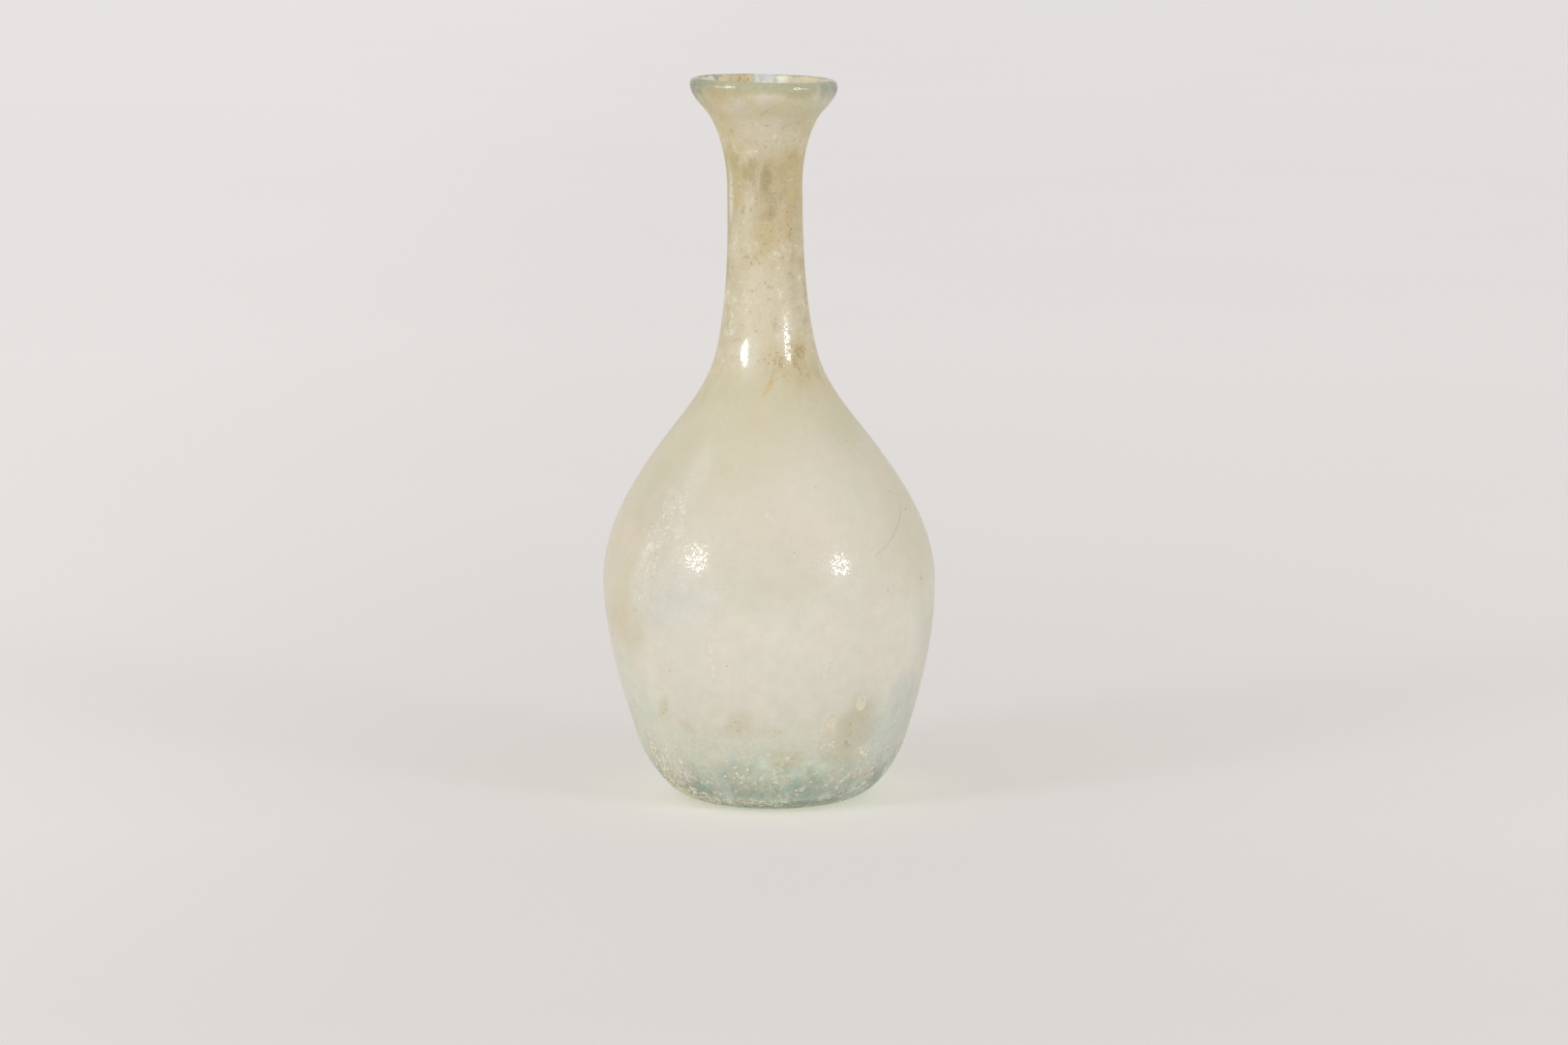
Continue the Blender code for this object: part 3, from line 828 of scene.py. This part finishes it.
def marks_surface(name, marks):
    """All the marks as one piece, each a strip that fades to both edges."""
    azimuth, along = map(np.array, zip(*(mark_grid(*mark[:2]) for mark in marks)))
    fade = 1.0 - np.linspace(-1.0, 1.0, MARK_LANES) ** 2
    strength = np.array([mark[2] for mark in marks])[:, None, None] * fade
    tone = np.array([mark[3] for mark in marks])[:, None, None, :]
    index = np.arange(azimuth.size).reshape(azimuth.shape)
    low, high = index[:, :-1], index[:, 1:]
    quads = np.stack([low[..., :-1], high[..., :-1], high[..., 1:], low[..., 1:]], axis=-1)
    values = {
        "tone": np.broadcast_to(tone, azimuth.shape + (3,)),
        "cover": np.broadcast_to(strength, azimuth.shape),
    }
    return mesh_object(name, on_wall(azimuth, along, MARK_LIFT), quads, np.empty((0, 3), int), values)


def mark_material():
    """A dull mark, broken up by fine noise."""
    material, tree, shader = new_material("skin_marks", Specular_IOR_Level=0.4)
    flecks = mineral(tree)["Flecks"]
    grain = ranged(tree, flecks, -0.8, 0.8)
    tone = shaded(tree, painted(tree, "tone"), grain, (0.9, 0.9, 0.88), (1.04, 1.04, 1.03))
    alpha = times(tree, times(tree, flecks, 0.8, 0.75), painted(tree, "cover"))
    alpha = sums(tree, "MINIMUM", sums(tree, "MAXIMUM", alpha, 0.0), 0.95)
    feed(tree, shader, Base_Color=tone, Alpha=alpha, Roughness=ranged(tree, grain, 0.0, 1.0, 0.45, 0.7))
    lets_lamps_through(tree, shader, (0.96, 0.96, 0.95))
    return material


pit_marks = [
    ([(at, level - 0.9 * size), (at, level + 0.9 * size)], size, 0.85, SOIL_BROWN)
    for at, level, size in PITS
]
marks = marks_surface("scratches_pits_and_painted_shade", MARKS + pit_marks)
marks.data.materials.append(mark_material())
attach(marks, "root")


# The crust
# Small plates of lime and dried soil, stuck on by ground water. They sit thick and pale gold on the lower
# left side, in a dull chalky sprinkle round the base, and as thin scales where the film flakes on the left.
GOLDEN = (0.77, 0.725, 0.56)
SCALE_GREY = (0.68, 0.69, 0.625)
SCALE_CREAM = (0.69, 0.655, 0.565)
DULL_CHALK = (0.75, 0.74, 0.65)
PLATE_SIDES = 9
PLATE_SEED = 5
PLATE_LIFT = 0.00001
LOWEST_PLATE = 0.0016
# Each cluster: azimuth, height, spread across, spread up in mm, count, least and most half width and
# thickness in mm, tone
CLUSTERS = [
    (-59, 6, 2.2, 3.2, 190, 0.1, 0.42, 0.1, GOLDEN), (-62, 11, 1.2, 2.6, 60, 0.08, 0.28, 0.08, GOLDEN),
    (-46, 2.4, 4, 1.2, 150, 0.1, 0.4, 0.1, GOLDEN), (-12, 1.9, 4.2, 0.5, 110, 0.1, 0.36, 0.08, GOLDEN),
    (-54, 9.6, 2.6, 1.8, 60, 0.1, 0.34, 0.07, CHALK), (41, 12, 1.1, 0.9, 18, 0.1, 0.34, 0.08, CHALK),
    (45, 8, 3.4, 1.8, 56, 0.1, 0.32, 0.05, SCALE_GREY), (23, 14.2, 1.4, 0.8, 16, 0.1, 0.26, 0.06, CHALK),
    (6, 7.8, 1.6, 1.2, 14, 0.1, 0.26, 0.08, CHALK), (-14, 8.5, 1.6, 1.2, 16, 0.1, 0.28, 0.08, CHALK),
    (-5, 7.3, 1.4, 0.8, 12, 0.1, 0.24, 0.08, CHALK), (0, 5.5, 999, 2.8, 270, 0.08, 0.44, 0.05, DULL_CHALK),
    (0, 11, 999, 2.4, 90, 0.06, 0.26, 0.05, DULL_CHALK),
    (-37, 62, 1.4, 1.8, 24, 0.08, 0.3, 0.02, SCALE_CREAM),
    (-43, 59, 1.3, 1.8, 50, 0.08, 0.34, 0.02, SCALE_CREAM),
    (-46, 54.5, 1.6, 2.2, 60, 0.08, 0.34, 0.02, SCALE_CREAM),
    (-37, 55.6, 1.6, 1.2, 30, 0.08, 0.3, 0.02, SCALE_CREAM),
    (-43, 48.5, 1.6, 3, 50, 0.08, 0.28, 0.02, SCALE_CREAM),
    (-49, 43, 1.8, 2.4, 34, 0.08, 0.26, 0.02, SCALE_CREAM),
    (-21, 55.3, 0.8, 0.6, 14, 0.08, 0.24, 0.02, SCALE_CREAM), (130, 6, 6, 3, 160, 0.1, 0.4, 0.1, GOLDEN),
    (-130, 5, 5, 2.4, 130, 0.1, 0.4, 0.1, SCALE_GREY), (-98, 54, 3, 6, 110, 0.08, 0.32, 0.03, CHALK),
    (165, 42, 3, 4, 90, 0.08, 0.3, 0.03, CHALK),
]


def plates_surface(name, clusters):
    """All the plates as one piece. Each is a ragged ring of points at the film, a smaller ring at its
    thickness above, and a middle point. Their places are spread normally round each cluster."""
    random = np.random.default_rng(PLATE_SEED)
    owner = np.repeat(np.arange(len(clusters)), [cluster[4] for cluster in clusters])
    total = len(owner)
    at, level, across, up, least, most, thick = (
        np.array([cluster[part] for cluster in clusters], float)[owner] for part in (0, 1, 2, 3, 5, 6, 7)
    )
    tone = np.array([cluster[8] for cluster in clusters])[owner]
    along = along_wall(level / MM) + random.normal(0.0, 1.0, total) * up / MM
    along = np.clip(along, LOWEST_PLATE, wall_length[-1])
    radius = np.interp(along, wall_length, wall[:, 0])
    azimuth = np.radians(at) + random.normal(0.0, 1.0, total) * across / MM / radius
    size = (least + (most - least) * random.random(total) ** 2.2) / MM
    stretch = random.uniform(0.6, 1.6, total)
    lean = random.uniform(0.0, math.pi, total)
    corner = np.linspace(0.0, 2 * math.pi, PLATE_SIDES, endpoint=False)
    reach = size[:, None] * random.uniform(0.65, 1.3, (total, PLATE_SIDES))
    long, short = reach * np.cos(corner) * stretch[:, None], reach * np.sin(corner)
    right = long * np.cos(lean)[:, None] - short * np.sin(lean)[:, None]
    high = long * np.sin(lean)[:, None] + short * np.cos(lean)[:, None]
    thickness = thick[:, None] / MM * random.uniform(0.4, 1.2, (total, 1))
    rings = [
        on_wall(
            azimuth[:, None] + spread * right / radius[:, None],
            np.maximum(along[:, None] + spread * high, 0.0),
            -FILM_SINK + PLATE_LIFT + lift * thickness,
        )
        for spread, lift in ((1.0, 0.0), (0.82, 0.8), (0.0, 1.0))
    ]
    points = np.stack(rings, axis=1)
    shade = tone * random.uniform(0.86, 1.06, (total, 1))
    return surface(name, points, pole_at_end=True, tone=np.broadcast_to(shade[:, None, None], points.shape))


def crust_material():
    """Matt lime, a little stained, with a powdery grain."""
    material, tree, shader = new_material("lime_crust", Specular_IOR_Level=0.35)
    grains = mineral(tree)["Grains"]
    grain = ranged(tree, grains, -0.8, 0.8)
    tone = shaded(tree, painted(tree, "tone"), grain, (0.86, 0.84, 0.78), (1.05, 1.05, 1.05))
    rough = ranged(tree, grain, 0.0, 1.0, 0.55, 0.8)
    feed(tree, shader, Base_Color=tone, Roughness=rough, Normal=rippled(tree, 0.3, grains))
    return material


crust_finish = crust_material()
crust = plates_surface("crust_plates", CLUSTERS)
crust.data.materials.append(crust_finish)
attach(crust, "root")


# The burst blisters
# Bubbles in the skin of the body have opened, two of them at the lower right. Each left an oval ring of
# film, raised like a thin lip, round a pale yellow bed.
BLISTER_RINGS = 16
BLISTER_SIDES = 44
BLISTER_BED = (0.74, 0.69, 0.505)
DOME_RISE = 0.00003
# Each blister: azimuth, height, half width, half height, height of its lip in mm, gap in the lip
BLISTERS = [
    (23.4, 19.6, 1.25, 1.9, 0.13, 0.15), (36, 22.5, 1.1, 1.6, 0.12, 0.75), (-128, 30, 1.4, 1.1, 0.12, 0.5),
]


def blisters_surface(name, blisters):
    """All the blisters as one piece. A blister's lift over its share of the way out is a bell round 0.8
    for the lip, which fades where it is broken, over a low dome, and it dips under the film at its edge."""
    share = np.linspace(1.12, 0.0, BLISTER_RINGS)[:, None]
    angle = np.linspace(0.0, 2 * math.pi, BLISTER_SIDES, endpoint=False)[None, :]
    grids, tones = [], []
    for at, level, half_width, half_height, lip, gap in blisters:
        ragged = 1.0 + 0.05 * np.sin(3 * angle + at) + 0.04 * np.sin(7 * angle + level)
        across = half_width / MM * share * ragged * np.cos(angle)
        up = half_height / MM * share * ragged * np.sin(angle)
        broken = 1.0 - gap * (0.5 + 0.5 * np.sin(2 * angle + 0.4 * at))
        lift = lip / MM * np.exp(-(((share - 0.8) / 0.15) ** 2)) * broken
        lift = lift + DOME_RISE * (1.0 - share**2)
        along = along_wall(level / MM)
        radius = np.interp(along, wall_length, wall[:, 0])
        grids.append(on_wall(math.radians(at) + across / radius, along + up, lift - FILM_SINK))
        low = np.clip(0.5 - 0.5 * share * np.sin(angle), 0.0, 1.0)[..., None]
        tones.append(np.array(PALE_CREAM) * (1 - low) + np.array(BLISTER_BED) * low)
    return surface(name, np.array(grids), pole_at_end=True, tone=np.array(tones))


blisters = blisters_surface("burst_blisters", BLISTERS)
blisters.data.materials.append(crust_finish)
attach(blisters, "root")


# The studio
# A wide pale paper floor that curves up far away, lit softly from all round and by two lamps in front.
FLOOR_REACH = 4.4
SWEEP_RADIUS = 0.75
SWEEP_HEIGHT = 0.9
# By distance from the flask in m: the tone of the paper, darkened near the flask and lightened far out by
# painted shade
FLOOR_TONES_WITH_PAINTED_SHADE = [
    (0.03, (0.722, 0.693, 0.673)), (0.16, (0.75, 0.721, 0.698)), (0.36, (0.802, 0.777, 0.757)),
    (0.71, (0.863, 0.837, 0.826)), (1.12, (0.89, 0.864, 0.855)), (2, (0.922, 0.902, 0.895)),
    (4.4, (0.955, 0.935, 0.932)),
]
CAMERA_RIGHT = 0.0029
CAMERA_BACK = 0.878
CAMERA_HEIGHT = 0.1964
CAMERA_PITCH = 9.242
LENS_MM = 105.0
SENSOR_MM = 36.0
SURROUND_TONE = (1.0, 0.99, 0.985)
SURROUND_STRENGTH = 0.82
LAMP_TONE = (0.995, 0.995, 1.0)


def paper_material():
    """Matt pale paper with a very faint unevenness."""
    material, tree, shader = new_material("pale_paper", Roughness=1.0, Specular_IOR_Level=0.0)
    place = node(tree, "TexCoord").outputs["Object"]
    grain = node(tree, "TexNoise", place, None, 6.0, 3.0, 0.5).outputs["Fac"]
    tone = shaded(tree, painted(tree, "tone"), grain, (1.0, 1.0, 1.0), (0.98, 0.98, 0.98))
    feed(tree, shader, Base_Color=tone)
    return material


def paper_tones_with_painted_light(right, behind):
    """The paper's tone at each point, with painted light and shade: lighter far out and to the left, a
    little darker in front, and lightest round the foot in a painted pool of light, where the glass gathers
    light: this dies away as e^(-d / 14 mm)."""
    away = np.hypot(right, behind)
    # Painted light: a pool round the foot and a lift to the left; painted shade: a dip in front
    foot = 0.4 * np.exp(-np.maximum(away - 0.02, 0.0) / 0.014)
    front = 0.66 * np.clip(-behind - 0.03, 0.0, 0.14) * np.clip((0.6 - away) / 0.4, 0.0, 1.0)
    left = 0.04 * np.clip((-right - 0.06) / 0.16, 0.0, 1.0)
    return by_height(away, FLOOR_TONES_WITH_PAINTED_SHADE) * (1.0 + foot - front + left)[..., None]


def sweep_grid():
    """The floor out to its reach, then a quarter circle up into the wall of paper."""
    reach = np.concatenate([[0.0], np.geomspace(0.02, FLOOR_REACH, 60)])
    flat = np.column_stack([reach, np.zeros(len(reach))])
    angle = np.linspace(0.0, math.pi / 2, 24)[1:]
    curve = np.column_stack(
        [FLOOR_REACH + SWEEP_RADIUS * np.sin(angle), SWEEP_RADIUS * (1 - np.cos(angle))]
    )
    top = [[FLOOR_REACH + SWEEP_RADIUS, SWEEP_HEIGHT]]
    return round_the_axis(np.concatenate([flat, curve, top])[::-1], 96)


def lamp(name, azimuth, elevation, distance, size, watts):
    """A round soft lamp, so many degrees to the right and up, that aims at the flask's middle. The camera
    doesn't see it."""
    light = bpy.data.lights.new(name, "AREA")
    light.shape = "DISK"
    light.size = size
    light.energy = watts
    light.color = LAMP_TONE
    holder = placed(name, light)
    a, e = math.radians(azimuth), math.radians(elevation)
    away = np.array([math.sin(a) * math.cos(e), -math.cos(a) * math.cos(e), math.sin(e)])
    holder.location = away * distance + np.array([0.0, 0.0, 0.06])
    holder.rotation_euler = (math.pi / 2 - e, 0.0, a)
    holder.visible_camera = False


sweep_azimuth, sweep_radius, sweep_height = sweep_grid()
sweep_points = np.stack(
    [sweep_radius * np.sin(sweep_azimuth), -sweep_radius * np.cos(sweep_azimuth), sweep_height], axis=-1
)
# The floor's tone, with its painted light and shade
sweep_tones_with_painted_light = paper_tones_with_painted_light(sweep_points[..., 0], sweep_points[..., 1])
floor = surface("floor", sweep_points, pole_at_end=True, tone=sweep_tones_with_painted_light)
floor.data.materials.append(paper_material())

lamp("left_lamp", -54.0, 20.0, 1.25, 0.36, 4.9)
lamp("right_lamp", 53.0, 17.0, 1.25, 0.3, 3.7)

world = bpy.data.worlds.new("Soft surround")
world.use_nodes = True
backdrop = world.node_tree.nodes["Background"]
backdrop.inputs["Color"].default_value = (*SURROUND_TONE, 1.0)
backdrop.inputs["Strength"].default_value = SURROUND_STRENGTH
scene = bpy.context.scene
scene.world = world

camera_data = bpy.data.cameras.new("camera")
camera_data.lens = LENS_MM
camera_data.sensor_width = SENSOR_MM
camera = placed("camera", camera_data)
camera.location = (CAMERA_RIGHT, -CAMERA_BACK, CAMERA_HEIGHT)
camera.rotation_euler = (math.radians(90.0 - CAMERA_PITCH), 0.0, 0.0)
scene.camera = camera

scene.view_settings.view_transform = "Standard"
scene.cycles.transparent_max_bounces = 24
scene.cycles.transmission_bounces = 16
scene.cycles.max_bounces = 20
scene.cycles.sample_clamp_indirect = 6.0
